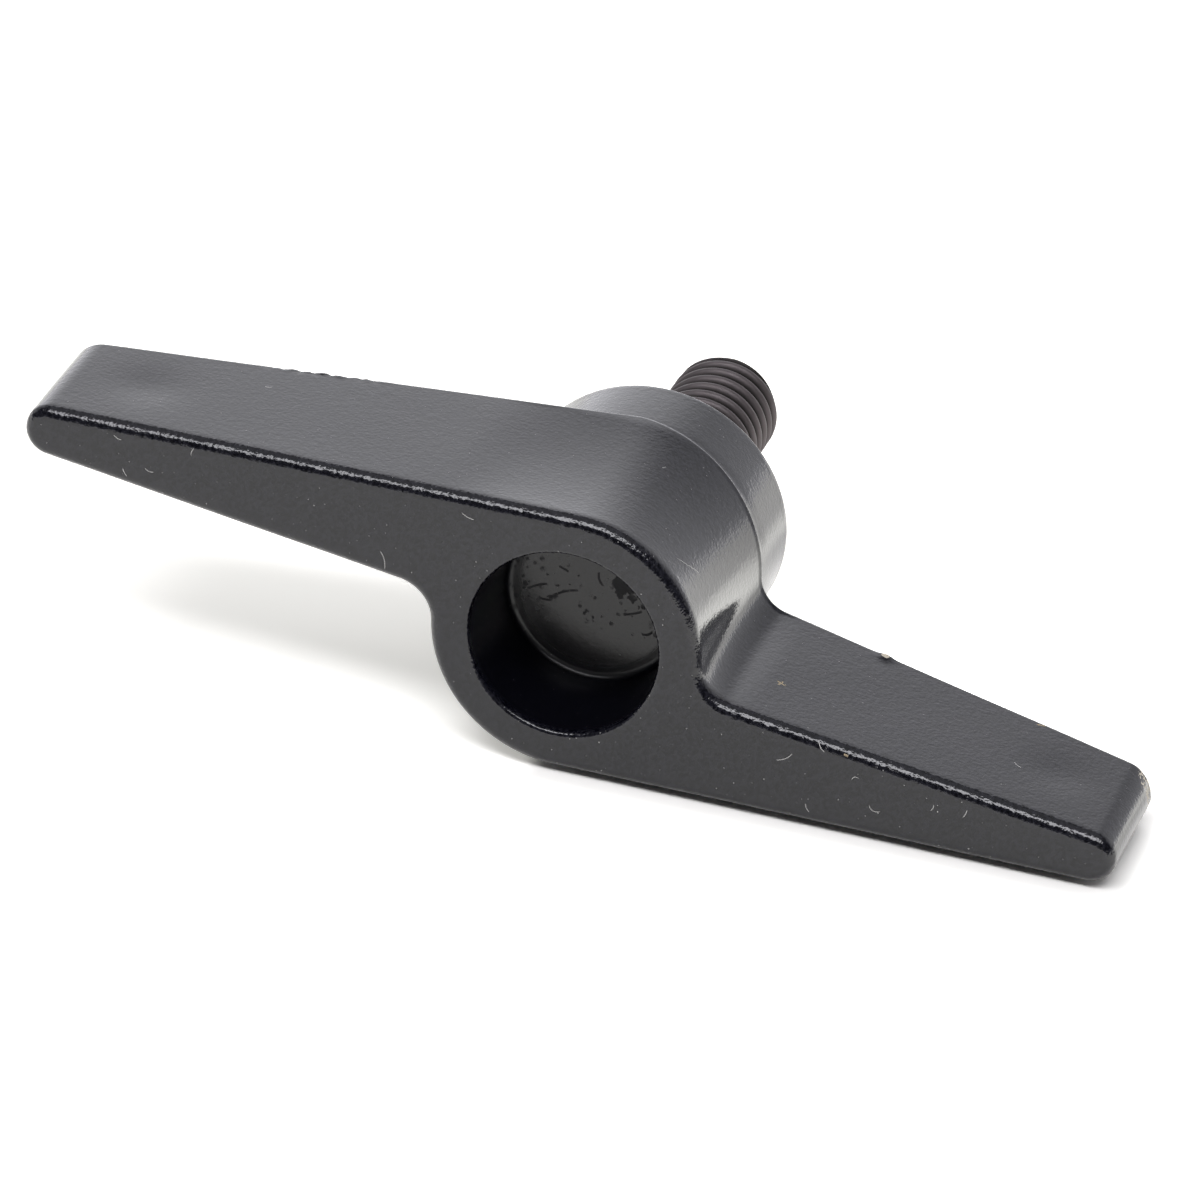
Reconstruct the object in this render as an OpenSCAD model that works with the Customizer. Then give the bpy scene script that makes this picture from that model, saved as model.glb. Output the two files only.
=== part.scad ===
// Locking knob: a two-wing cast handle with a recessed hub and a threaded stud.
// Millimetres. Origin at the centre of the collar's seat face. +Y runs along the stud to its free end,
// +X along the wing that lies on the table, +Z up.

/* [Wings and hub] */
// Length over both wing tips at the front face
wing_span = 93; // [80:0.5:110]
// Radius of the hub at the front face
hub_radius = 11.3; // [10:0.1:14]
// Front-to-back depth at the hub
hub_depth = 19.4; // [15:0.1:24]
// Front-to-back depth at the centre of a wing tip
tip_depth = 12.9; // [9:0.1:16]
// Radius of a wing tip at the front face
tip_radius = 2.25; // [1.5:0.05:3]
// Angle between the two long sides of a wing
wing_taper = 8.2; // [5:0.1:11]
// Concave fillet between hub and wing at the front face
fillet_radius = 3.3; // [2:0.1:5]
// Casting draft of the outer walls and the recess
draft = 1.6; // [0.5:0.1:3]
// Round on the edge of the front face
edge_round = 0.95; // [0.4:0.05:1.2]

/* [Collar] */
// Length of the collar behind the hub
collar_length = 6.4; // [4:0.1:10]
// Ledge at the parting line, where the hub ends and the collar begins
collar_step = 0.1; // [0.05:0.01:1]
// Casting draft of the collar
collar_draft = 0.4; // [0.2:0.1:2]
// Round on the rim of the seat face
rim_round = 0.35; // [0.2:0.05:1]

/* [Recess] */
// Radius of the recess at the front face
recess_radius = 7.9; // [5:0.1:9]
// Depth of the recess
recess_depth = 9.8; // [4:0.1:12]
// Round on the front edge of the recess
recess_round = 0.5; // [0.2:0.05:0.8]
// Fillet around the recess floor
floor_fillet = 0.6; // [0.3:0.1:1.5]
// How much deeper the middle of the recess floor is
floor_dish = 0.5; // [0.2:0.05:1]
// Flat ring left around that hollow
floor_land = 0.3; // [0.1:0.05:1]
// Metal left between the recess floor's edge and the held end of the stud
floor_wall = 4.5; // [2:0.1:8]

/* [Stud] */
// Major diameter of the thread
stud_diameter = 9.525; // [9:0.005:12]
// Distance between the thread's turns
thread_pitch = 1.5875; // [1.25:0.0125:2]
// Length standing out of the seat face
stud_length = 23.5; // [12:0.1:40]
// How much wider than the thread the shank held in the casting is
shank_oversize = 0.6; // [0.2:0.1:2]
// Chamfer on the free end
stud_chamfer = 1; // [0.3:0.1:1.5]
// Chamfer on the held end
shank_chamfer = 0.5; // [0.2:0.1:1]

/* [Hidden] */
$fn = 96;

// Clearance of cutting shapes past the surfaces they cut
over = 2;
// Overlap where a round surface runs on into a flat one
blend = 0.01;
overall_depth = hub_depth + collar_length;
shank_length = overall_depth - recess_depth - floor_wall;
shank_radius = (stud_diameter + shank_oversize) / 2;
stud_radius = stud_diameter / 2;
// Basic form of a 60 degree thread: an eighth of the pitch flat at the crest and a quarter at the root
crest_flat = thread_pitch / 8;
root_flat = thread_pitch / 4;
flank = (thread_pitch - crest_flat - root_flat) / 2;
root_radius = stud_radius - flank / tan(30);
thread_turns = floor((stud_length - stud_chamfer) / thread_pitch);
draft_slope = tan(draft);
tip_x = wing_span / 2 - tip_radius;
tip_y = hub_radius - tip_radius;
rear_slope = (hub_depth - tip_depth) / tip_x;
// Outward normal of the inner long side of a wing
inner_normal = [sin(wing_taper), -cos(wing_taper)];
// Distance of that side from the hub's axis, to a micrometre
inner_offset = round(1000 * ([tip_x, tip_y] * inner_normal + tip_radius)) / 1000;
// The fillet's axis stands off the inner side and off the hub by its own radius
fillet_along = sqrt(pow(hub_radius + fillet_radius, 2) - pow(inner_offset + fillet_radius, 2));
fillet_axis = (inner_offset + fillet_radius) * inner_normal
    + fillet_along * [cos(wing_taper), sin(wing_taper)];

// Growth of an outer wall by its draft, which starts where the front edge's round ends
function drafted(depth) = (depth - edge_round) * draft_slope;

// Drafted wall with its front edge rounded, as distance against depth
module wall_section(distance, inner) {
    difference() {
        polygon([
            [inner, 0],
            [distance, 0],
            [distance, edge_round],
            [distance + drafted(hub_depth), hub_depth],
            [inner, hub_depth]
        ]);
        difference() {
            translate([distance - edge_round, -over])
                square([edge_round + over, edge_round + over]);
            translate([distance - edge_round, edge_round])
                circle(r = edge_round);
        }
    }
}

// Cutter for a drafted hole with its front edge rounded, as radius against depth
module hole_section(radius, front_round, depth, end_radius) {
    difference() {
        polygon([
            [0, -over],
            [radius + front_round, -over],
            [radius + front_round, front_round],
            [radius, front_round],
            [end_radius, depth],
            [0, depth]
        ]);
        translate([radius + front_round, front_round])
            circle(r = front_round);
    }
}

// Everything inside one long straight side, from its outward direction and distance
module straight_side(direction, distance) {
    rotate([0, 0, direction])
        translate([0, wing_span, 0])
            rotate([90, 0, 0])
                linear_extrude(2 * wing_span)
                    wall_section(distance, -wing_span);
}

// One wing from the hub's axis to its rounded tip
module wing_blank() {
    intersection() {
        linear_extrude(hub_depth)
            polygon([
                [0, -hub_radius],
                [0, hub_radius + over],
                [tip_x, hub_radius + over],
                [tip_x, tip_y],
                [tip_x, tip_y] + (tip_radius + over) * inner_normal
            ]);
        straight_side(90, hub_radius - blend);
        straight_side(wing_taper - 90, inner_offset);
    }
    translate([tip_x, tip_y, 0])
        rotate_extrude()
            wall_section(tip_radius + blend, 0);
}

// Solid corner between hub and wing
module fillet_web() {
    linear_extrude(hub_depth)
        polygon([
            [0, 0],
            fillet_axis,
            fillet_axis - (fillet_radius + over) * inner_normal
        ]);
}

// Concave fillet with its front edge rounded
module fillet_cut() {
    depth = hub_depth + over;
    radius = fillet_radius + blend;
    translate([fillet_axis[0], fillet_axis[1], 0])
        rotate_extrude()
            hole_section(radius, edge_round, depth, radius - drafted(depth));
}

// Sloping rear faces of both wings
module rear_cut() {
    reach = wing_span / 2 + hub_radius;
    translate([0, reach, 0])
        rotate([90, 0, 0])
            linear_extrude(2 * reach)
                polygon([
                    [0, hub_depth],
                    [reach, hub_depth - reach * rear_slope],
                    [reach, hub_depth + over],
                    [-reach, hub_depth + over],
                    [-reach, hub_depth - reach * rear_slope]
                ]);
}

// Collar with its rim rounded, started inside the hub
module collar() {
    start = hub_depth - rear_slope * hub_radius - over;
    root = hub_radius - collar_step;
    rim = root + drafted(hub_depth) - collar_length * tan(collar_draft);
    rim_radius = round(1000 * rim) / 1000;
    rotate_extrude()
        difference() {
            polygon([
                [0, start],
                [root + drafted(start), start],
                [root + drafted(hub_depth), hub_depth],
                [rim_radius, overall_depth - rim_round],
                [rim_radius, overall_depth],
                [0, overall_depth]
            ]);
            difference() {
                translate([rim_radius - rim_round, overall_depth - rim_round])
                    square(rim_round + over);
                translate([rim_radius - rim_round, overall_depth - rim_round])
                    circle(r = rim_round);
            }
        }
}

// Blind recess with a fillet around its floor and the floor hollowed as part of a ball
module recess_cut() {
    wall_depth = recess_depth - floor_fillet;
    wall_radius = round(1000 * (recess_radius - wall_depth * draft_slope)) / 1000;
    floor_radius = wall_radius - floor_fillet;
    ball_radius = (pow(floor_radius - floor_land, 2) / floor_dish + floor_dish) / 2;
    rotate_extrude() {
        hole_section(recess_radius, recess_round, wall_depth, wall_radius);
        square([floor_radius, recess_depth]);
        translate([floor_radius, wall_depth])
            circle(r = floor_fillet);
        intersection() {
            translate([0, recess_depth + floor_dish - ball_radius])
                circle(r = ball_radius);
            translate([0, wall_depth])
                square([floor_radius, floor_fillet + over]);
        }
    }
}

// Shank below the thread, as radius against height, for the stud and for its seat
module shank_section() {
    polygon([
        [0, 0],
        [shank_radius - shank_chamfer, 0],
        [shank_radius, shank_chamfer],
        [shank_radius, shank_length],
        [0, shank_length]
    ]);
}

// Casting drawn with its front face on z = 0 and its depth along +z
module casting() {
    difference() {
        union() {
            difference() {
                union() {
                    rotate_extrude()
                        wall_section(hub_radius, 0);
                    for (turn = [0, 180])
                        rotate([0, 0, turn]) {
                            wing_blank();
                            fillet_web();
                        }
                }
                for (turn = [0, 180])
                    rotate([0, 0, turn])
                        fillet_cut();
                rear_cut();
            }
            collar();
        }
        recess_cut();
        translate([0, 0, overall_depth - shank_length])
            rotate_extrude()
                shank_section();
    }
}

// One turn of the thread, as radius against height, from half way along one crest to the next
function thread_turn(start) = [
    [stud_radius, start + crest_flat / 2],
    [root_radius, start + crest_flat / 2 + flank],
    [root_radius, start + crest_flat / 2 + flank + root_flat],
    [stud_radius, start + thread_pitch - crest_flat / 2]
];

// Stud drawn with the held end of its shank on z = 0, its thread as closed turns
module stud() {
    rotate_extrude()
        shank_section();
    translate([0, 0, shank_length])
        rotate_extrude()
            polygon([
                [0, 0],
                [stud_radius, 0],
                for (turn = [0 : thread_turns - 1]) each thread_turn(turn * thread_pitch),
                [stud_radius, stud_length - stud_chamfer],
                [stud_radius - stud_chamfer, stud_length],
                [0, stud_length]
            ]);
}

module wing_handle() {
    color([0.10, 0.10, 0.11])
        translate([0, -overall_depth, 0])
            rotate([-90, 0, 0])
                casting();
}

module threaded_stud() {
    color([0.27, 0.25, 0.24])
        translate([0, -shank_length, 0])
            rotate([-90, 0, 0])
                stud();
}

wing_handle();
threaded_stud();
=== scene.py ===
"""Locking knob: a black two-wing casting with a recessed hub and a threaded steel stud."""
import math

import bmesh
import bpy
import numpy as np
from mathutils import Matrix, Vector, noise
from mathutils.geometry import delaunay_2d_cdt


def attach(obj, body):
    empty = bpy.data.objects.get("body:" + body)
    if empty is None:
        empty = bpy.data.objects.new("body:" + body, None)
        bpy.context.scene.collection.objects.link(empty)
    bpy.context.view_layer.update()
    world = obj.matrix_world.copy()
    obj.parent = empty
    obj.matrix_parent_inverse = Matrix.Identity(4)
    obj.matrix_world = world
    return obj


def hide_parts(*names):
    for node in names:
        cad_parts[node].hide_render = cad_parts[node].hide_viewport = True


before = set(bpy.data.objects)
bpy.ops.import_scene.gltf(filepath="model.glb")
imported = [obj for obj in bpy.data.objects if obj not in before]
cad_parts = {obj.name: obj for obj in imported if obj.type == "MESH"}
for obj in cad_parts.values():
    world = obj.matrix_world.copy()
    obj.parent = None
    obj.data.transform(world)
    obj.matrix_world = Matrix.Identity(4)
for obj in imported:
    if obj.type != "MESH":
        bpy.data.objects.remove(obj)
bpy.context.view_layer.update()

MM = 0.001

# Casting, in millimetres, as seen from the front: x to the right, z up, depth behind the front face
HUB_RADIUS = 11.3
HUB_DEPTH = 19.4
TIP_X = 44.25
TIP_RADIUS = 2.25
TIP_DEPTH = 12.9
WING_TAPER = math.radians(8.2)
FILLET_RADIUS = 3.3
DRAFT_SLOPE = math.tan(math.radians(1.6))
EDGE_ROUND = 1.1
REAR_ROUND = 0.09
REAR_ROUND_LENGTH = 0.35
OVERALL_DEPTH = 25.8
COLLAR_STEP = 0.1
COLLAR_SLOPE = math.tan(math.radians(0.4))
COLLAR_BASE = HUB_DEPTH + 0.3
RIM_ROUND = 0.35
RECESS_RADIUS = 7.9
RECESS_DEPTH = 9.8
RECESS_ROUND = 0.5
FLOOR_FILLET = 0.6
FLOOR_DISH = 0.5
FLOOR_LAND = 0.3
REAR_SLOPE = (HUB_DEPTH - TIP_DEPTH) / TIP_X

# Stud, in millimetres
SHANK_RADIUS = 5.0625
SHANK_LENGTH = 11.5
SHANK_CHAMFER = 0.5
THREAD_RADIUS = 4.7625
THREAD_PITCH = 1.5875
THREAD_DEPTH = 0.86
THREAD_FULLNESS = 1.3
STUD_LENGTH = 23.5
STUD_CHAMFER = 1.0
SHARP_EDGE = math.radians(50)
# Start of the helix, so that neither flat end runs through a corner of its mesh
THREAD_START = 0.0055
# Turns drawn past each end of the thread, to be cut off
SPARE_TURNS = 2

# Mesh spacing in millimetres, and the area below which a triangle is a sliver along a straight edge
GRAIN = 0.36
EDGE_GAP = 0.6 * GRAIN
MERGE_DISTANCE = 1e-6
LEAST_AREA = 0.0001

# Rows of the stud's hole from its ends, and how far around it the casting keeps its shape
HOLE_INSET = 4.0
HOLE_MARGIN = 1.0

# Numbers of mesh steps
WALL_STEPS = 46
TIP_STEPS = 36
FILLET_STEPS = 18
HUB_STEPS = 44
EDGE_STEPS = 9
SMALL_ROUND_STEPS = 5
COLLAR_SIDES = 200
COLLAR_FOOT_STEPS = 4
COLLAR_STEPS = 12
SEAT_STEPS = 8
RECESS_SIDES = 160
RECESS_ROUND_STEPS = 7
RECESS_WALL_STEPS = 20
RECESS_FLOOR_STEPS = 18
THREAD_SIDES = 96
THREAD_STEPS = 14

# Casting flaws, in millimetres: x, y and z in the object's frame
HUB_SINK = 0.45
HUB_SINK_FADE = 5.0
WAVE_HEIGHT = 0.02
WAVE_LENGTH = 7.0
WAVE_BIAS = 0.75
FLASH_SPAN = (-32.0, -20.0)
FLASH_FADE = (0.0, 3.0)
FLASH_BEHIND = (-0.8, -0.1)
FLASH_TOP = (10.8, 11.5)
FLASH_HEIGHT = 0.16
FLASH_GRAIN = 1.8
NICK = Vector((23.1, -10.1, -3.3))
NICK_HEIGHT = 0.2
NICK_RADIUS = 0.6
DENTS = [(Vector((-38.5, -18.5, 11.5)), 4.5, 0.16), (Vector((40.0, -18.5, -6.0)), 4.0, 0.1)]
DENT_FALL = 1.5
WORN_CORNER = Vector((46.4, -13.2, -8.4))
WORN_RADIUS = 2.0
WORN_CORE = 0.4 * WORN_RADIUS
WORN_DEPTH = 0.16
WORN_LEVEL = 0.5
WORN_GRAIN = 1.6

# Coat, dust and wear colours; the bare colour also paints a glint on the nick
COAT_DARK = (0.001, 0.001, 0.003, 1)
COAT_LIGHT = (0.011, 0.011, 0.0155, 1)
DUST_COLOUR = (0.42, 0.41, 0.39, 1)
DIRT_COLOUR = (0.30, 0.24, 0.15, 1)
BARE_AND_GLINT_COLOUR = (0.50, 0.45, 0.36, 1)

# Coat texture: noises by scale per metre and detail, and heights of the orange peel in millimetres
FINE_NOISE = (3400.0, 1.0)
BROAD_NOISE = (1500.0, 1.0)
PATCH_NOISE = (1400.0, 3.0)
PEEL_HEIGHT = 0.018
PEEL_AT_EDGE = 0.03
PEEL_BROAD = 0.014
PEEL_LOST_IN_RECESS = 0.9
COAT_ROUGHNESS = 0.15
MATT_ROUGHNESS = 0.5
RECESS_WALL_MATT = 0.4
COAT_IOR = 1.5

# Regions of the casting, in millimetres: where each begins and where it is full
FRONT_Y = (-25.2, -25.6)
EDGE_FRONT_Y = (-25.8, -25.6)
EDGE_BACK_Y = (-24.7, -25.1)
RECESS_REACH = (8.0, 7.9)
RECESS_FRONT_Y = (-25.4, -24.8)
RECESS_BACK_Y = (-14.4, -15.0)
RECESS_WALL_REACH = (6.2, 6.9)
RECESS_FLOOR_Y = (-16.6, -16.2)
SOILED_REACH = (4.0, 6.5)
SOILED_Z = (-4.2, -2.2)

# Levels of noise between which a pattern comes in
MOTTLE = (0.3, 0.7)
DUSTY = (0.35, 0.65)
SOILED = (0.45, 0.6)
CHIPPED = (0.45, 0.55)

# Strewn spots: cells per metre, the largest radius in millimetres, and how few are large
SPECKS = (2100.0, 0.075, 2.0)
SPOTS = (1500.0, 0.36, 0.8)
SPOT_CORE = 0.6
DUST_ON_FRONT = 0.6
DUST_ELSEWHERE = 0.4

# Ragged patches: radius and raggedness, in millimetres, and the share of the radius that is full
WORN_PATCH = (1.8, 2.4)
# The nick's patch is a painted glint, in the bare colour
NICK_PAINTED_GLINT = (0.4, 0.3)
SMUDGE = Vector((2.4, -15.6, 1.4))
SMUDGE_PATCH = (1.6, 3.2)
PATCH_CORE = 0.85

# Thin marks on the faces, in millimetres: two end points, the face's normal and the bow
FRONT_FACE = (0, -1, 0)
TOP_FACE = (0.14, 0, 0.99)
HUB_SIDE = (0.76, 0, 0.65)
MARK_REACH = 0.5
MARK_EDGE = (1.0, 0.5)
LINT_WIDTH = 0.04
LINT = [
    ((-37.8, -25.8, 7.4), (-37.4, -25.8, 6.7), FRONT_FACE, 0.06),
    ((-35.9, -25.8, 7.7), (-35.1, -25.8, 7.5), FRONT_FACE, 0.15),
    ((-38.7, -25.8, 10.1), (-38.0, -25.8, 9.8), FRONT_FACE, 0.1),
    ((-31.9, -25.8, 10.5), (-32.1, -25.8, 9.8), FRONT_FACE, 0.1),
    ((-15.5, -25.8, 5.0), (-15.0, -25.8, 3.3), FRONT_FACE, -0.2),
    ((-9.2, -25.8, 9.7), (-8.1, -25.8, 9.3), FRONT_FACE, 0.1),
    ((8.0, -22.3, 8.1), (9.7, -20.1, 6.0), HUB_SIDE, 0.1),
    ((9.0, -20.9, 7.0), (9.7, -20.1, 6.0), HUB_SIDE, -0.2),
    ((18.5, -25.8, -6.3), (19.8, -25.8, -5.4), FRONT_FACE, 0.2),
    ((24.6, -25.8, -6.3), (25.2, -25.8, -6.0), FRONT_FACE, -0.2),
    ((26.2, -25.8, -8.6), (27.2, -25.8, -9.0), FRONT_FACE, 0.3),
    ((34.0, -25.8, -7.7), (34.3, -25.8, -6.9), FRONT_FACE, 0.05),
    ((31.4, -25.8, -7.7), (31.6, -25.8, -7.1), FRONT_FACE, 0.1),
    ((21.1, -25.8, -9.5), (21.5, -25.8, -10.2), FRONT_FACE, 0.1),
    ((21.6, -25.8, -3.9), (22.2, -25.8, -4.6), FRONT_FACE, 0.1),
    ((36.2, -19.0, -5.5), (37.0, -19.5, -5.6), TOP_FACE, 0.1),
    ((3.6, -12.6, 11.0), (3.8, -12.3, 11.0), TOP_FACE, 0.0),
    ((-29.8, -14.6, 11.6), (-29.2, -14.5, 11.6), TOP_FACE, 0.05),
]
DIRT_WIDTH = 0.1
DIRT = [
    ((36.5, -12.3, -5.4), (37.3, -12.1, -5.5), TOP_FACE, 0.0),
    ((16.3, -19.3, -2.7), (17.2, -19.6, -2.8), TOP_FACE, 0.1),
    ((16.6, -19.8, -2.7), (16.9, -19.1, -2.7), TOP_FACE, 0.1),
    ((23.8, -25.6, -4.4), (24.2, -25.6, -4.5), FRONT_FACE, 0.0),
]
SCRATCH_WIDTH = 0.13
RECESS_SCRATCHES = [
    ((-4.2, -15.7, -1.3), (-1.7, -15.5, -0.1), FRONT_FACE, -0.25),
    ((-6.0, -15.9, -0.9), (-4.3, -15.7, -0.1), FRONT_FACE, -0.15),
    ((2.2, -15.6, -1.7), (3.9, -15.7, -1.0), FRONT_FACE, 0.1),
    ((-0.3, -15.5, 1.7), (0.2, -15.5, 0.4), FRONT_FACE, 0.2),
    ((-3.5, -15.6, 1.6), (-2.6, -15.6, 1.2), FRONT_FACE, 0.0),
    ((4.0, -15.8, -3.1), (5.0, -15.9, -2.6), FRONT_FACE, 0.2),
    ((-5.0, -15.8, -1.6), (-3.9, -15.7, -1.7), FRONT_FACE, 0.1),
]

# Black oxide: colours, and where the lighter tone comes in, by share of the thread's depth and by place
STEEL_DARK = (0.085, 0.074, 0.075, 1)
STEEL_LIGHT = (0.125, 0.11, 0.112, 1)
STEEL_GROOVE = (0.022, 0.019, 0.018, 1)
STEEL_NOISE = (900.0, 3.0)
STEEL_METALLIC = 0.8
STEEL_ROUGHNESS = 0.55
CREST_BELOW = (0.55, 0.1)
END_FACE_Y = (STUD_LENGTH - 0.1, STUD_LENGTH - 0.02)

# White table: half its width in metres, and how white it looks to the camera and in the gloss
TABLE_SIZE = 3.0
TABLE_COLOUR = (0.96, 0.955, 0.94, 1)
TABLE_SEEN = (1.2, 1.185, 1.13, 1)
TABLE_GLOW = (1, 0.995, 0.93, 1)

# Painted glow of the table, in millimetres: none under the lower wing, so its contact shadow stays; none in
# a painted shadow behind the stud; most in a painted pool of light on the right
FOOTPRINT = (23.0, -17.0)
FOOTPRINT_HALF = (23.5, 8.8)
FOOTPRINT_EDGE = (0.3, 2.5)
GLOW_EVEN = 0.33
RIGHT_X = (12.0, 27.0)
RIGHT_FRONT_Y = (-6.0, 8.0)
RIGHT_BACK_Y = (54.0, 20.0)
GLOW_RIGHT = 1.3
ASIDE_X = (47.0, 60.0)
GLOW_ASIDE = 0.35
# Painted shadow of the stud on the table: the glow fades out around this place
STUD_PAINTED_SHADOW = Vector((15.0, 25.0, 0.0))
STUD_PAINTED_SHADOW_EDGE = (4.0, 14.0)

# Studio, by direction: a wall behind with a brighter panel, a low horizon, a ceiling and a softbox
BEHIND_Y = (-0.05, 0.35)
PANEL_RIGHT_X = (0.2, -0.2)
PANEL_LEFT_X = (-0.8, -0.55)
WALL_LEVEL = 0.9
PANEL_LEVEL = 0.78
WALL_FOOT = 1.27
WALL_FALL = 0.6
WALL_TOP_Z = (0.85, 0.65)
HORIZON_Z = (0.14, 0.0)
HORIZON_LEVEL = 1.0
CEILING_Z = (0.75, 0.92)
CEILING_LEVEL = 0.6
LEAST_LEVEL = 0.08
SOFTBOX = Vector((0.0, -0.5, 0.866))
SOFTBOX_NARROW = (0.19, 0.11)
SOFTBOX_WIDE = (0.52, 0.3)
SOFTBOX_Z = (0.3, 0.5)
SOFTBOX_LEVEL = 9.2
STUDIO_COLOUR = (0.985, 0.985, 1.03, 1)
WHITE = (1, 1, 1, 1)

# Camera: its axes in the object's frame, its place, lens and sensor in millimetres, its near limit in metres
CAMERA_RIGHT = Vector((0.95427, 0.28736, 0.08243))
CAMERA_DOWN = Vector((0.20264, -0.41904, -0.88507))
CAMERA_AHEAD = Vector((-0.21979, 0.86130, -0.45811))
CAMERA_PLACE = Vector((116.228, -470.298, 241.109))
CAMERA_LENS = 195
CAMERA_SENSOR = 36
CAMERA_NEAR = 0.01


def smooth(value, low, high):
    """Smooth step of a value from 0 at low to 1 at high."""
    t = min(1.0, max(0.0, (value - low) / (high - low)))
    return t * t * (3 - 2 * t)


def drafted(depth):
    """Growth of an outer wall at a depth behind the front edge's round."""
    return (depth - EDGE_ROUND) * DRAFT_SLOPE


def rear_depth(x):
    """Depth of the sloping rear faces at a place along the wings."""
    return HUB_DEPTH - REAR_SLOPE * abs(x)


def place(x, z, depth):
    """Point in metres from a place seen from the front and its depth."""
    return Vector((x, depth - OVERALL_DEPTH, z)) * MM


def arc(centre, radius, start, end, steps, hollow=False):
    """Points and outward normals along an arc, without its end point."""
    found = []
    for step in range(steps):
        angle = start + (end - start) * step / steps
        ray = np.array([math.cos(angle), math.sin(angle)])
        found.append((centre + radius * ray, -ray if hollow else ray))
    return found


def line(start, end, normal):
    """Points and outward normals along a line, without its end point."""
    steps = max(1, round(np.linalg.norm(end - start) / GRAIN))
    return [(start + (end - start) * step / steps, normal) for step in range(steps)]


def wing_outline():
    """Half of the outline at its front section, from below the hub round the right wing to above it."""
    side = np.array([math.sin(WING_TAPER), math.cos(WING_TAPER)])
    along = np.array([math.cos(WING_TAPER), -math.sin(WING_TAPER)])
    down = np.array([0.0, -1.0])
    tip = np.array([TIP_X, TIP_RADIUS - HUB_RADIUS])
    offset = tip @ side + TIP_RADIUS
    reach = math.sqrt((HUB_RADIUS + FILLET_RADIUS) ** 2 - (offset + FILLET_RADIUS) ** 2)
    hollow = (offset + FILLET_RADIUS) * side + reach * along
    hub_angle = math.atan2(hollow[1], hollow[0])
    side_angle = math.pi / 2 - WING_TAPER
    points = line(HUB_RADIUS * down, tip + TIP_RADIUS * down, down)
    points += arc(tip, TIP_RADIUS, -math.pi / 2, side_angle, TIP_STEPS)
    points += line(tip + TIP_RADIUS * side, hollow - FILLET_RADIUS * side, side)
    points += arc(hollow, FILLET_RADIUS, side_angle + math.pi, hub_angle + math.pi, FILLET_STEPS,
                  hollow=True)
    points += arc(np.zeros(2), HUB_RADIUS, hub_angle, math.pi / 2, HUB_STEPS)
    return points


def full_outline():
    """The whole outline: the half above, and the same turned half round."""
    half = wing_outline()
    return half + [(-point, -normal) for point, normal in half]


def inside(points, loop):
    """Which of some points lie inside a closed loop."""
    result = np.zeros(len(points), bool)
    for (x0, z0), (x1, z1) in zip(loop, np.roll(loop, -1, axis=0)):
        crosses = (z0 > points[:, 1]) != (z1 > points[:, 1])
        if z0 != z1:
            edge_x = x0 + (points[:, 1] - z0) * (x1 - x0) / (z1 - z0)
            result ^= crosses & (points[:, 0] < edge_x)
    return result


def clearance(points, loop):
    """Distance from each point to the nearest point of a loop."""
    return np.array([np.min(np.hypot(loop[:, 0] - x, loop[:, 1] - z)) for x, z in points])


def triangulate(outer, inner):
    """Triangles between two loops, with evenly spread points: the new points, then triples of indices."""
    low, high = outer.min(0), outer.max(0)
    rows = np.arange(low[1], high[1], GRAIN * math.sqrt(3) / 2)
    spread = [(x + (row % 2) * GRAIN / 2, z)
              for row, z in enumerate(rows)
              for x in np.arange(low[0], high[0], GRAIN)]
    spread = np.array(spread)
    spread = spread[inside(spread, outer) & ~inside(spread, inner)]
    spread = spread[(clearance(spread, outer) > EDGE_GAP) & (clearance(spread, inner) > EDGE_GAP)]
    points = np.vstack([outer, inner, spread])
    edges = [(i, (i + 1) % len(outer)) for i in range(len(outer))]
    edges += [(len(outer) + i, len(outer) + (i + 1) % len(inner)) for i in range(len(inner))]
    result = delaunay_2d_cdt([Vector(p) for p in points], edges, [], 0, MERGE_DISTANCE)
    origin = [ids[0] for ids in result[3]]
    triangles = [[origin[i] for i in face] for face in result[2]]
    corners = np.array([points[face] for face in triangles])
    middles = corners.mean(1)
    areas = np.abs(np.cross(corners[:, 1] - corners[:, 0], corners[:, 2] - corners[:, 0])) / 2
    wanted = inside(middles, outer) & ~inside(middles, inner) & (areas > LEAST_AREA)
    return spread, [face for face, keep in zip(triangles, wanted) if keep]


def flaw(spot):
    """Height of the casting's flaws at a place: waves, flash on an edge, dents, a nick and a worn corner."""
    height = WAVE_HEIGHT * (noise.noise(spot / WAVE_LENGTH) - WAVE_BIAS)
    behind = OVERALL_DEPTH + spot.y - rear_depth(spot.x)
    along = min(spot.x - FLASH_SPAN[0], FLASH_SPAN[1] - spot.x)
    ridge = smooth(along, *FLASH_FADE) * smooth(behind, *FLASH_BEHIND) * smooth(spot.z, *FLASH_TOP)
    height += FLASH_HEIGHT * ridge * noise.noise(spot * FLASH_GRAIN)
    for middle, radius, depth in DENTS:
        height -= depth * math.exp(-((spot - middle).length / radius * DENT_FALL) ** 2)
    height += NICK_HEIGHT * math.exp(-((spot - NICK).length / NICK_RADIUS) ** 2)
    worn = 1 - smooth((spot - WORN_CORNER).length, WORN_CORE, WORN_RADIUS)
    return height - WORN_DEPTH * worn * (WORN_LEVEL + noise.noise(spot * WORN_GRAIN))


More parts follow.
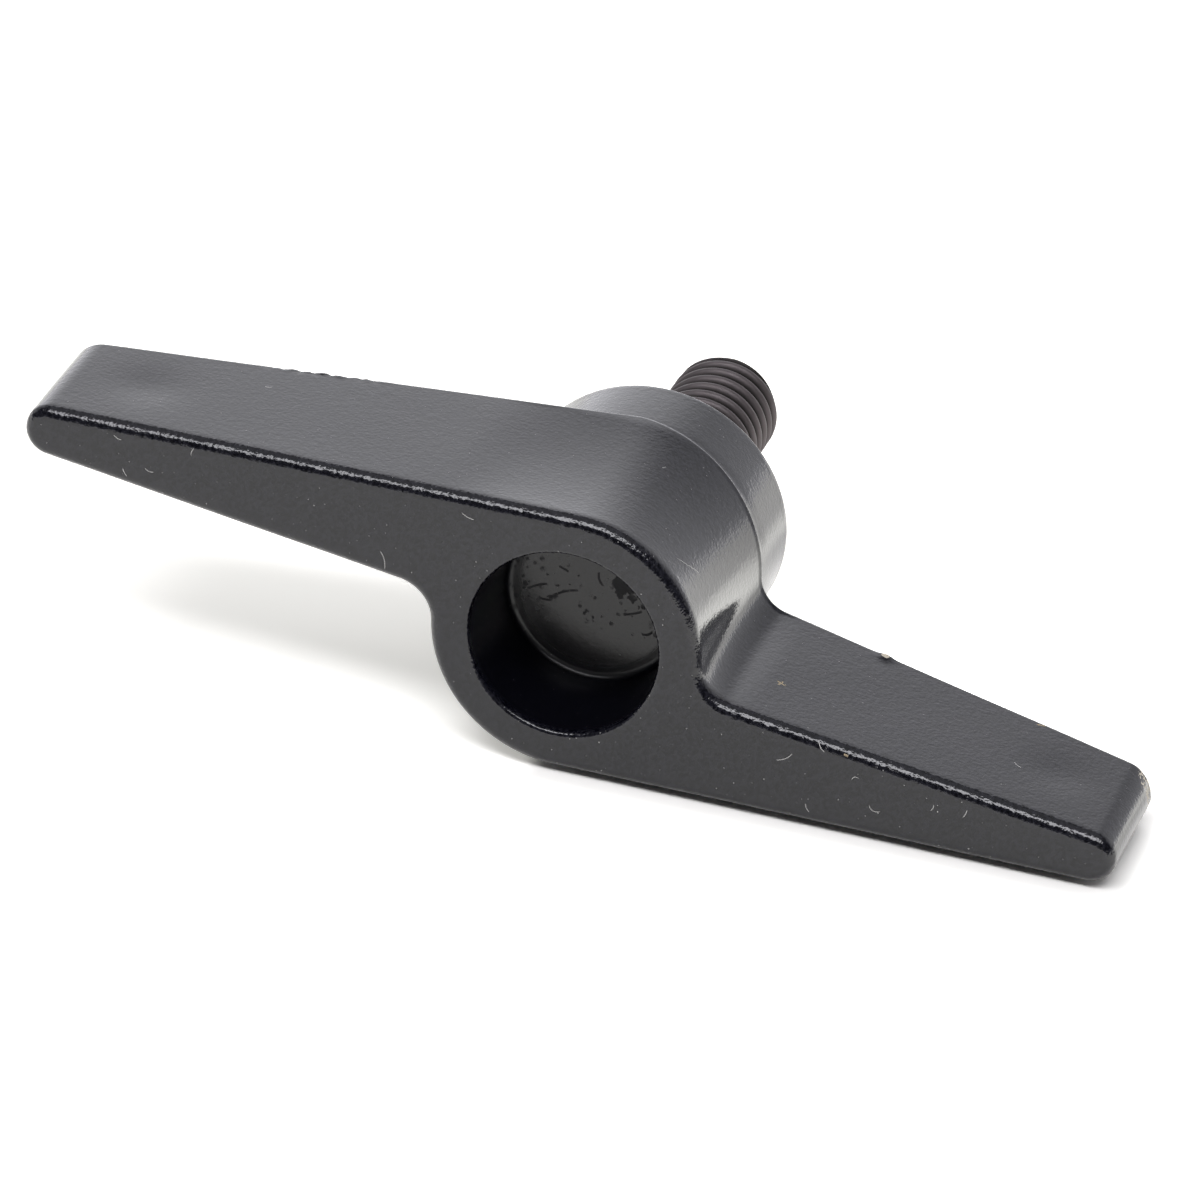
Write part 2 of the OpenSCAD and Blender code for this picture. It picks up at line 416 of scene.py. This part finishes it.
class Shell:
    """A mesh put together from rings of vertices."""

    def __init__(self):
        self.mesh = bmesh.new()

    def ring(self, points):
        """New vertices at some points in metres."""
        return [self.mesh.verts.new(point) for point in points]

    def bridge(self, first, second):
        """Faces between two closed rings."""
        for i in range(len(first)):
            j = (i + 1) % len(first)
            self.mesh.faces.new((first[i], first[j], second[j], second[i]))

    def fan(self, ring, point):
        """Faces from a closed ring to a point."""
        tip = self.mesh.verts.new(point)
        for i in range(len(ring)):
            self.mesh.faces.new((ring[i], ring[(i + 1) % len(ring)], tip))

    def skin(self, rows):
        """Rings at rows of points in metres, with faces from each to the next."""
        rings = [self.ring(row) for row in rows]
        for first, second in zip(rings, rings[1:]):
            self.bridge(first, second)
        return rings

    def fill(self, outer, inner, plans, depth):
        """Evenly spread faces between two rings, from both as seen from the front and a depth by x."""
        spread, triangles = triangulate(*plans)
        verts = outer + inner + self.ring(place(x, z, depth(x)) for x, z in spread)
        for face in triangles:
            self.mesh.faces.new([verts[i] for i in face])

    def weather(self):
        """Moves the vertices by the casting's flaws, apart from the seat face and the stud's hole."""
        bmesh.ops.recalc_face_normals(self.mesh, faces=self.mesh.faces)
        self.mesh.normal_update()
        for vert in self.mesh.verts:
            spot = vert.co / MM
            deep = spot.y > -SHANK_LENGTH - HOLE_MARGIN
            in_hole = deep and math.hypot(spot.x, spot.z) < SHANK_RADIUS + HOLE_MARGIN
            if spot.y < -RIM_ROUND and not in_hole:
                vert.co += vert.normal * flaw(spot) * MM

    def finish(self, name):
        """The mesh as a smooth-shaded object in the scene."""
        bmesh.ops.recalc_face_normals(self.mesh, faces=self.mesh.faces)
        data = bpy.data.meshes.new(name)
        self.mesh.to_mesh(data)
        self.mesh.free()
        data.shade_smooth()
        piece = bpy.data.objects.new(name, data)
        bpy.context.scene.collection.objects.link(piece)
        return piece


def circle_plan(radius, steps):
    """Points of a circle seen from the front."""
    angles = 2 * math.pi * np.arange(steps) / steps
    return radius * np.column_stack([np.cos(angles), np.sin(angles)])


def hub_sink(point, depth):
    """How far the thick hub's wall has sunk in at a depth, fading out along the wings."""
    middle = HUB_DEPTH / 2
    hollow = max(0.0, 1 - ((depth - middle) / (middle - EDGE_ROUND)) ** 2)
    fade = 1 - smooth(float(np.hypot(*point)), HUB_RADIUS, HUB_RADIUS + HUB_SINK_FADE)
    return HUB_SINK * hollow * fade


def round_steps(steps):
    """Pairs of sine and one less cosine for a quarter round."""
    angles = [math.pi / 2 * step / steps for step in range(steps + 1)]
    return [(math.sin(a), 1 - math.cos(a)) for a in angles]


def wall_rows(outline):
    """Rows of the outer wall from the front face to the rear edge, as lists of x, z and depth."""
    rows = []
    for rise, back in round_steps(EDGE_STEPS):
        growth = -EDGE_ROUND * (1 - rise)
        rows.append([(*(p + growth * n), EDGE_ROUND * back) for p, n in outline])
    for step in range(1, WALL_STEPS + 1):
        row = []
        for p, n in outline:
            end = rear_depth((p + drafted(rear_depth(p[0])) * n)[0]) - REAR_ROUND_LENGTH
            depth = EDGE_ROUND + (end - EDGE_ROUND) * step / WALL_STEPS
            row.append((*(p + (drafted(depth) - hub_sink(p, depth)) * n), depth))
        rows.append(row)
    for rise, back in round_steps(SMALL_ROUND_STEPS)[1:]:
        row = []
        for p, n in outline:
            spot = p + (drafted(rear_depth(p[0])) - REAR_ROUND * back) * n
            row.append((*spot, rear_depth(spot[0]) - REAR_ROUND_LENGTH * (1 - rise)))
        rows.append(row)
    return rows


def collar_rows():
    """Rows of the collar from the rear faces to the seat face, then of the stud's hole."""
    rays = circle_plan(1, COLLAR_SIDES)
    root = HUB_RADIUS - COLLAR_STEP
    rim = root + drafted(HUB_DEPTH) - (OVERALL_DEPTH - HUB_DEPTH) * COLLAR_SLOPE
    rows = []
    for step in range(COLLAR_FOOT_STEPS + 1):
        row = []
        for ray in rays:
            start = rear_depth(root * ray[0])
            depth = start + (COLLAR_BASE - start) * step / COLLAR_FOOT_STEPS
            row.append((*((root + drafted(min(depth, HUB_DEPTH))) * ray), depth))
        rows.append(row)
    end = OVERALL_DEPTH - RIM_ROUND
    for step in range(1, COLLAR_STEPS + 1):
        depth = COLLAR_BASE + (end - COLLAR_BASE) * step / COLLAR_STEPS
        radius = root + drafted(HUB_DEPTH) - (depth - HUB_DEPTH) * COLLAR_SLOPE
        rows.append([(*(radius * ray), depth) for ray in rays])
    for rise, back in round_steps(SMALL_ROUND_STEPS)[1:]:
        rows.append([(*((rim - RIM_ROUND * back) * ray), end + RIM_ROUND * rise) for ray in rays])
    for step in range(1, SEAT_STEPS + 1):
        radius = rim - RIM_ROUND + (SHANK_RADIUS - rim + RIM_ROUND) * step / SEAT_STEPS
        rows.append([(*(radius * ray), OVERALL_DEPTH) for ray in rays])
    hole_end = OVERALL_DEPTH - SHANK_LENGTH
    for depth in (OVERALL_DEPTH - HOLE_INSET, hole_end + HOLE_INSET, hole_end + SHANK_CHAMFER):
        rows.append([(*(SHANK_RADIUS * ray), depth) for ray in rays])
    rows.append([(*((SHANK_RADIUS - SHANK_CHAMFER) * ray), hole_end) for ray in rays])
    return rows


def recess_rows():
    """Rows of the recess from its mouth to near the middle of its floor."""
    wall_end = RECESS_DEPTH - FLOOR_FILLET
    floor_radius = RECESS_RADIUS - wall_end * DRAFT_SLOPE
    profile = [(RECESS_RADIUS + RECESS_ROUND * (1 - rise), RECESS_ROUND * back)
               for rise, back in round_steps(RECESS_ROUND_STEPS)]
    slope = (floor_radius - RECESS_RADIUS) / (wall_end - RECESS_ROUND)
    for step in range(1, RECESS_WALL_STEPS + 1):
        depth = RECESS_ROUND + (wall_end - RECESS_ROUND) * step / RECESS_WALL_STEPS
        profile.append((RECESS_RADIUS + (depth - RECESS_ROUND) * slope, depth))
    profile += [(floor_radius - FLOOR_FILLET * back, wall_end + FLOOR_FILLET * rise)
                for rise, back in round_steps(RECESS_ROUND_STEPS)[1:]]
    hollow = floor_radius - FLOOR_FILLET - FLOOR_LAND
    ball = (hollow ** 2 / FLOOR_DISH + FLOOR_DISH) / 2
    for step in range(RECESS_FLOOR_STEPS):
        radius = hollow * (1 - step / RECESS_FLOOR_STEPS)
        profile.append((radius, RECESS_DEPTH + FLOOR_DISH - ball + math.sqrt(ball ** 2 - radius ** 2)))
    rays = circle_plan(1, RECESS_SIDES)
    return [[(*(radius * ray), depth) for ray in rays] for radius, depth in profile]


def plan(row):
    """A row's points as seen from the front."""
    return np.array([point[:2] for point in row])


def make_handle():
    """The casting as one closed mesh."""
    shell = Shell()
    walls, collar, recess = wall_rows(full_outline()), collar_rows(), recess_rows()
    outside, rear, hollow = [shell.skin([place(*point) for point in row] for row in rows)
                             for rows in (walls, collar, recess)]
    shell.fan(hollow[-1], place(0, 0, recess[-1][0][2]))
    shell.fan(rear[-1], place(0, 0, OVERALL_DEPTH - SHANK_LENGTH))
    shell.fill(outside[0], hollow[0], [plan(walls[0]), plan(recess[0])], lambda x: 0)
    shell.fill(outside[-1], rear[0], [plan(walls[-1]), plan(collar[0])], rear_depth)
    shell.weather()
    return shell.finish("handle_casting")


def thread_profile():
    """One pitch of the thread, from root to root, as pairs of distance along the stud and radius."""
    found = []
    for step in range(THREAD_STEPS):
        away = abs(2 * step / THREAD_STEPS - 1)
        drop = THREAD_DEPTH * (1 - math.cos(math.pi * away ** THREAD_FULLNESS)) / 2
        found.append((THREAD_PITCH * step / THREAD_STEPS, THREAD_RADIUS - drop))
    return found


def around(radius, step, y):
    """Point in metres on a ring round the stud's axis."""
    angle = 2 * math.pi * step / THREAD_SIDES
    return Vector((radius * math.sin(angle), y, radius * math.cos(angle))) * MM


def thread_point(pitch, along, radius, step):
    """Point of the helix, kept inside the chamfer at the free end."""
    y = THREAD_START + THREAD_PITCH * (pitch + step / THREAD_SIDES) + along
    limit = THREAD_RADIUS - max(0.0, y - STUD_LENGTH + STUD_CHAMFER)
    return around(min(radius, limit), step, y)


def wind_thread(shell):
    """The helix as a skin, cut off flat at the seat face and at the free end."""
    turns = range(-SPARE_TURNS, round(STUD_LENGTH / THREAD_PITCH) + SPARE_TURNS)
    rows = [shell.ring(thread_point(turn, along, radius, step) for step in range(THREAD_SIDES))
            for turn in turns
            for along, radius in thread_profile()]
    mesh = shell.mesh
    for k in range(len(rows) - THREAD_STEPS - 1):
        for step in range(THREAD_SIDES - 1):
            mesh.faces.new((rows[k][step], rows[k][step + 1], rows[k + 1][step + 1], rows[k + 1][step]))
        ahead = k + THREAD_STEPS
        mesh.faces.new((rows[k][-1], rows[ahead][0], rows[ahead + 1][0], rows[k + 1][-1]))
    for height, direction in ((0, -1), (STUD_LENGTH, 1)):
        everything = mesh.verts[:] + mesh.edges[:] + mesh.faces[:]
        bmesh.ops.bisect_plane(mesh, geom=everything, plane_co=(0, height * MM, 0),
                               plane_no=(0, direction, 0), clear_outer=True)


def make_stud():
    """The stud as one closed mesh: a right-handed thread on a plain shank."""
    shell = Shell()
    wind_thread(shell)
    mesh = shell.mesh
    half_way = STUD_LENGTH / 2 * MM
    end = [edge for edge in mesh.edges if edge.is_boundary and edge.verts[0].co.y > half_way]
    bmesh.ops.contextual_create(mesh, geom=end)
    base = {vert for edge in mesh.edges if edge.is_boundary for vert in edge.verts}
    base = sorted(base, key=lambda vert: math.atan2(vert.co.x, vert.co.z))
    shank = [(SHANK_RADIUS, 0), (SHANK_RADIUS, SHANK_CHAMFER - SHANK_LENGTH),
             (SHANK_RADIUS - SHANK_CHAMFER, -SHANK_LENGTH)]
    rings = shell.skin([around(radius, step, y) for step in range(THREAD_SIDES)] for radius, y in shank)
    mesh.faces.new(rings[-1])
    loops = [np.array([(vert.co.x, vert.co.z) for vert in loop]) / MM for loop in (rings[0], base)]
    shell.fill(rings[0], base, loops, lambda x: OVERALL_DEPTH)
    piece = shell.finish("stud_thread")
    piece.data.set_sharp_from_angle(angle=SHARP_EDGE)
    return piece


class Nodes:
    """Short calls for making and linking the nodes of a shader tree."""

    def __init__(self, tree):
        self.tree = tree

    def feed(self, socket, value):
        """Links an output to a socket, or sets a plain value on it."""
        if isinstance(value, bpy.types.NodeSocket):
            self.tree.links.new(value, socket)
        else:
            socket.default_value = value

    def make(self, kind, inputs=None, **settings):
        """A node with its settings made and its inputs linked or set."""
        made = self.tree.nodes.new(kind)
        for name, value in settings.items():
            setattr(made, name, value)
        for name, value in (inputs or {}).items():
            self.feed(made.inputs[name], value)
        return made

    def math(self, operation, first, second=0.0):
        """Output of a math node."""
        return self.make("ShaderNodeMath", {0: first, 1: second}, operation=operation).outputs[0]

    def chain(self, operation, values):
        """Several values joined by one operation."""
        result = values[0]
        for value in values[1:]:
            result = self.math(operation, result, value)
        return result

    def product(self, *values):
        """Several values multiplied."""
        return self.chain("MULTIPLY", values)

    def total(self, *values):
        """Several values added."""
        return self.chain("ADD", values)

    def largest(self, *values):
        """The largest of several values."""
        return self.chain("MAXIMUM", values)

    def size(self, value):
        """A value without its sign."""
        return self.math("ABSOLUTE", value)

    def vector(self, operation, first, second):
        """Outputs of a vector math node."""
        return self.make("ShaderNodeVectorMath", {0: first, 1: second}, operation=operation).outputs

    def distance(self, where, spot):
        """Distance to a place in millimetres."""
        return self.vector("DISTANCE", where, spot * MM)["Value"]

    def ramp(self, value, low, high):
        """Smooth step of a value from 0 at low to 1 at high."""
        made = self.make("ShaderNodeMapRange", {"Value": value, "From Min": low, "From Max": high},
                         interpolation_type="SMOOTHSTEP")
        return made.outputs["Result"]

    def band(self, value, limits):
        """Smooth step between two limits in millimetres."""
        return self.ramp(value, limits[0] * MM, limits[1] * MM)

    def place(self, kind):
        """A texture coordinate as a vector, and its three parts."""
        where = self.make("ShaderNodeTexCoord").outputs[kind]
        return where, self.make("ShaderNodeSeparateXYZ", {"Vector": where}).outputs

    def noise(self, where, scale, detail):
        """Noise through space, mostly between 0.3 and 0.7."""
        inputs = {"Vector": where, "Scale": scale, "Detail": detail}
        return self.make("ShaderNodeTexNoise", inputs).outputs["Fac"]

    def blend(self, factor, first, second):
        """Colour between two colours."""
        made = self.make("ShaderNodeMix", {"Factor": factor}, data_type="RGBA")
        for name, value in (("A", first), ("B", second)):
            socket = next(i for i in made.inputs if i.name == name and i.type == "RGBA")
            self.feed(socket, value)
        return next(o for o in made.outputs if o.type == "RGBA")


def new_material(name):
    """A material, the calls for its nodes, and its shader."""
    material = bpy.data.materials.new(name)
    material.use_nodes = True
    tree = material.node_tree
    return material, Nodes(tree), tree.nodes["Principled BSDF"]


def mark_group():
    """Node group for a thin bowed mark on a face: below 1 on the mark, from vectors scaled to its size."""
    tree = bpy.data.node_groups.new("thin_mark", "ShaderNodeTree")
    for name in ("Place", "Middle", "Along", "Across", "Normal"):
        tree.interface.new_socket(name, in_out="INPUT", socket_type="NodeSocketVector")
    tree.interface.new_socket("Bow", in_out="INPUT", socket_type="NodeSocketFloat")
    tree.interface.new_socket("Distance", in_out="OUTPUT", socket_type="NodeSocketFloat")
    nodes = Nodes(tree)
    given = nodes.make("NodeGroupInput").outputs
    offset = nodes.vector("SUBTRACT", given["Place"], given["Middle"])["Vector"]
    along, across, normal = [nodes.vector("DOT_PRODUCT", offset, given[name])["Value"]
                             for name in ("Along", "Across", "Normal")]
    end = nodes.product(along, along)
    side = nodes.math("SUBTRACT", across, nodes.product(end, given["Bow"]))
    nodes.make("NodeGroupOutput", {"Distance": nodes.largest(nodes.size(side), nodes.size(normal), end)})
    return tree


def marks(nodes, where, group, ends, width):
    """1 on any of several thin marks, each from its ends in millimetres, its face's normal and its bow."""
    distances = []
    for start, end, normal, bow in ends:
        start, end, normal = Vector(start) * MM, Vector(end) * MM, Vector(normal)
        along = end - start
        across = normal.cross(along).normalized()
        inputs = {"Place": where, "Middle": (start + end) / 2, "Along": 2 * along / along.length_squared,
                  "Across": across / (width * MM), "Normal": normal / (MARK_REACH * MM), "Bow": bow / width}
        distances.append(nodes.make("ShaderNodeGroup", inputs, node_tree=group).outputs["Distance"])
    return nodes.ramp(nodes.chain("MINIMUM", distances), *MARK_EDGE)


def from_axis(nodes, axis):
    """Distance from the stud's axis."""
    squares = [nodes.product(axis[name], axis[name]) for name in "XZ"]
    return nodes.math("SQRT", nodes.total(*squares))


def sprinkle(nodes, where, spots):
    """1 on round spots strewn through space, from a scale, a largest radius and how few are large."""
    scale, largest, power = spots
    cells = nodes.make("ShaderNodeTexVoronoi", {"Vector": where, "Scale": scale})
    chance = nodes.make("ShaderNodeSeparateColor", {"Color": cells.outputs["Color"]}).outputs["Red"]
    size = nodes.product(nodes.math("POWER", chance, power), largest * MM * scale)
    outside = nodes.ramp(cells.outputs["Distance"], nodes.product(size, SPOT_CORE), size)
    return nodes.math("SUBTRACT", 1.0, outside)


def near(nodes, where, patchy, spot, patch):
    """1 around a place in millimetres, with an edge made ragged by a noise."""
    radius, ragged = patch
    waver = nodes.total(nodes.distance(where, spot), nodes.product(patchy, ragged * MM))
    return nodes.band(waver, (radius + ragged / 2, PATCH_CORE * radius + ragged / 2))


def coat_material():
    """Satin black coat with fine orange peel, dust, lint and dirt, a worn corner, a painted glint on the
    nick, and a marked recess whose coat is painted darker as shade.
    """
    material, nodes, shader = new_material("black_coat")
    where, axis = nodes.place("Object")
    group = mark_group()
    fine = nodes.noise(where, *FINE_NOISE)
    broad = nodes.noise(where, *BROAD_NOISE)
    patchy = nodes.noise(where, *PATCH_NOISE)

    # The front face, its rounded edge, the recess, its wall and its floor
    reach = from_axis(nodes, axis)
    front = nodes.band(axis["Y"], FRONT_Y)
    edge = nodes.product(nodes.band(axis["Y"], EDGE_FRONT_Y), nodes.band(axis["Y"], EDGE_BACK_Y))
    recess = nodes.product(nodes.band(reach, RECESS_REACH), nodes.band(axis["Y"], RECESS_FRONT_Y),
                           nodes.band(axis["Y"], RECESS_BACK_Y))
    side = nodes.product(recess, nodes.band(reach, RECESS_WALL_REACH))
    bottom = nodes.product(recess, nodes.band(axis["Y"], RECESS_FLOOR_Y))

    # Height in millimetres
    coarse = nodes.total(nodes.product(edge, PEEL_AT_EDGE), PEEL_HEIGHT)
    peel = nodes.total(nodes.product(fine, coarse), nodes.product(broad, PEEL_BROAD))
    kept = nodes.math("SUBTRACT", 1.0, nodes.product(recess, PEEL_LOST_IN_RECESS))
    bump = nodes.make("ShaderNodeBump", {"Distance": MM, "Height": nodes.product(peel, kept)})
    nodes.feed(shader.inputs["Normal"], bump.outputs["Normal"])

    # Pale specks and lint, dirt, bare metal at the worn corner, and a painted glint on the nick in the same
    # bare colour
    dusty = nodes.total(nodes.product(front, DUST_ON_FRONT), DUST_ELSEWHERE)
    dusty = nodes.product(nodes.ramp(patchy, *DUSTY), dusty)
    specks = nodes.product(sprinkle(nodes, where, SPECKS), dusty)
    pale = nodes.largest(specks, marks(nodes, where, group, LINT, LINT_WIDTH))
    dirt = marks(nodes, where, group, DIRT, DIRT_WIDTH)
    corner = nodes.product(near(nodes, where, patchy, WORN_CORNER, WORN_PATCH), nodes.ramp(fine, *CHIPPED))
    # worn: bare metal at the worn corner, and a painted glint on the nick
    worn = nodes.largest(corner, near(nodes, where, patchy, NICK, NICK_PAINTED_GLINT))

    # Dull scratches, spots and a smudge on the recess floor, and its duller wall
    soiled = nodes.largest(nodes.ramp(patchy, *SOILED), nodes.band(reach, SOILED_REACH))
    spots = nodes.product(sprinkle(nodes, where, SPOTS), soiled, nodes.band(axis["Z"], SOILED_Z), bottom)
    smudge = nodes.product(near(nodes, where, patchy, SMUDGE, SMUDGE_PATCH), bottom)
    scratches = marks(nodes, where, group, RECESS_SCRATCHES, SCRATCH_WIDTH)
    dull = nodes.largest(scratches, spots, smudge, nodes.product(side, RECESS_WALL_MATT))

    # Colour and gloss
    # Random mottle of the coat, left out in the recess so that its coat stays at the darkest tone: painted
    # shade
    mottle_and_recess_shade = nodes.product(nodes.ramp(fine, *MOTTLE), nodes.math("SUBTRACT", 1.0, recess))
    tone = nodes.blend(pale, nodes.blend(mottle_and_recess_shade, COAT_DARK, COAT_LIGHT), DUST_COLOUR)
    tone = nodes.blend(dirt, tone, DIRT_COLOUR)
    nodes.feed(shader.inputs["Base Color"], nodes.blend(worn, tone, BARE_AND_GLINT_COLOUR))
    matt = nodes.largest(pale, dirt, worn, dull)
    nodes.feed(shader.inputs["Roughness"], nodes.total(nodes.product(matt, MATT_ROUGHNESS), COAT_ROUGHNESS))
    shader.inputs["IOR"].default_value = COAT_IOR
    return material


def steel_material():
    """Black oxide on rolled thread, darker in the grooves."""
    material, nodes, shader = new_material("black_oxide_steel")
    where, axis = nodes.place("Object")
    limits = [THREAD_RADIUS - share * THREAD_DEPTH for share in CREST_BELOW]
    crest = nodes.largest(nodes.band(from_axis(nodes, axis), limits), nodes.band(axis["Y"], END_FACE_Y))
    steel = nodes.blend(nodes.noise(where, *STEEL_NOISE), STEEL_DARK, STEEL_LIGHT)
    nodes.feed(shader.inputs["Base Color"], nodes.blend(crest, STEEL_GROOVE, steel))
    shader.inputs["Metallic"].default_value = STEEL_METALLIC
    shader.inputs["Roughness"].default_value = STEEL_ROUGHNESS
    return material


def seen_rays(nodes):
    """1 for rays that show the backdrop: camera, glossy and transmission rays."""
    path = nodes.make("ShaderNodeLightPath").outputs
    return nodes.largest(path["Is Camera Ray"], path["Is Glossy Ray"], path["Is Transmission Ray"])


def table_glow(nodes):
    """How much whiter the table looks than its light makes it: a painted glow, kept out under the lower
    wing, cut away in a painted shadow behind the stud, strongest in a painted pool of light on the right.
    """
    spot, axis = nodes.place("Object")
    past = [nodes.total(nodes.size(nodes.total(axis[name], -middle * MM)), -half * MM)
            for name, middle, half in zip("XY", FOOTPRINT, FOOTPRINT_HALF)]
    even = nodes.product(nodes.band(nodes.largest(*past), FOOTPRINT_EDGE), GLOW_EVEN)
    right = nodes.product(nodes.band(axis["X"], RIGHT_X), nodes.band(axis["Y"], RIGHT_FRONT_Y),
                          nodes.band(axis["Y"], RIGHT_BACK_Y), GLOW_RIGHT)
    aside = nodes.product(nodes.band(axis["X"], ASIDE_X), GLOW_ASIDE)
    level = nodes.total(even, nodes.largest(right, aside))
    return nodes.product(level, nodes.band(nodes.distance(spot, STUD_PAINTED_SHADOW), STUD_PAINTED_SHADOW_EDGE))


def make_floor():
    """White table, level with the casting's lowest edge."""
    mesh = bmesh.new()
    bmesh.ops.create_grid(mesh, x_segments=1, y_segments=1, size=TABLE_SIZE)
    data = bpy.data.meshes.new("floor")
    mesh.to_mesh(data)
    mesh.free()
    floor = bpy.data.objects.new("floor", data)
    bpy.context.scene.collection.objects.link(floor)
    floor.location.z = -(HUB_RADIUS + drafted(HUB_DEPTH)) * MM
    material = bpy.data.materials.new("white_table")
    material.use_nodes = True
    material.node_tree.nodes.clear()
    nodes = Nodes(material.node_tree)
    shown = seen_rays(nodes)
    paper = nodes.make("ShaderNodeBsdfDiffuse", {"Color": nodes.blend(shown, TABLE_COLOUR, TABLE_SEEN)})
    strength = nodes.product(table_glow(nodes), shown)
    glow = nodes.make("ShaderNodeEmission", {"Color": TABLE_GLOW, "Strength": strength})
    both = nodes.make("ShaderNodeAddShader", {0: paper.outputs["BSDF"], 1: glow.outputs["Emission"]})
    nodes.make("ShaderNodeOutputMaterial", {"Surface": both.outputs["Shader"]})
    data.materials.append(material)


def studio_level(nodes):
    """Brightness of the studio by direction, dark towards the camera."""
    ray, axis = nodes.place("Generated")
    behind = nodes.ramp(axis["Y"], *BEHIND_Y)
    panel = nodes.product(nodes.ramp(axis["X"], *PANEL_RIGHT_X), nodes.ramp(axis["X"], *PANEL_LEFT_X))
    wall = nodes.total(nodes.product(panel, PANEL_LEVEL), WALL_LEVEL)
    fall = nodes.math("SUBTRACT", WALL_FOOT, nodes.product(axis["Z"], WALL_FALL))
    wall = nodes.product(wall, fall, behind, nodes.ramp(axis["Z"], *WALL_TOP_Z))
    low = nodes.product(nodes.total(behind, HORIZON_LEVEL), nodes.ramp(axis["Z"], *HORIZON_Z))
    ceiling = nodes.product(nodes.ramp(axis["Z"], *CEILING_Z), CEILING_LEVEL)
    white = nodes.largest(wall, low, ceiling, LEAST_LEVEL)
    across = nodes.vector("DOT_PRODUCT", ray, Vector((0, SOFTBOX.z, -SOFTBOX.y)))["Value"]
    box = nodes.product(nodes.ramp(nodes.size(across), *SOFTBOX_NARROW),
                        nodes.ramp(nodes.size(axis["X"]), *SOFTBOX_WIDE), nodes.ramp(axis["Z"], *SOFTBOX_Z))
    return nodes.total(nodes.product(box, SOFTBOX_LEVEL), white)


def make_world():
    """Soft studio light, with plain white for the camera."""
    world = bpy.data.worlds.new("studio")
    bpy.context.scene.world = world
    world.use_nodes = True
    nodes = Nodes(world.node_tree)
    background = world.node_tree.nodes["Background"]
    camera = nodes.make("ShaderNodeLightPath").outputs["Is Camera Ray"]
    strength = nodes.make("ShaderNodeMix", {"Factor": camera, "A": studio_level(nodes), "B": 1.0})
    nodes.feed(background.inputs["Strength"], strength.outputs["Result"])
    nodes.feed(background.inputs["Color"], nodes.blend(camera, STUDIO_COLOUR, WHITE))


def make_camera():
    """Camera at the photograph's place."""
    data = bpy.data.cameras.new("camera")
    data.sensor_width = CAMERA_SENSOR
    data.lens = CAMERA_LENS
    data.clip_start = CAMERA_NEAR
    camera = bpy.data.objects.new("camera", data)
    turn = Matrix((CAMERA_RIGHT, -CAMERA_DOWN, -CAMERA_AHEAD)).transposed().to_4x4()
    camera.matrix_world = Matrix.Translation(CAMERA_PLACE * MM) @ turn
    bpy.context.scene.collection.objects.link(camera)
    bpy.context.scene.camera = camera


make_camera()
make_floor()
make_world()
bpy.context.scene.view_settings.view_transform = "Standard"

handle = make_handle()
handle.data.materials.append(coat_material())
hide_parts("wing_handle")
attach(handle, "root")

stud = make_stud()
stud.data.materials.append(steel_material())
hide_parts("threaded_stud")
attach(stud, "root")
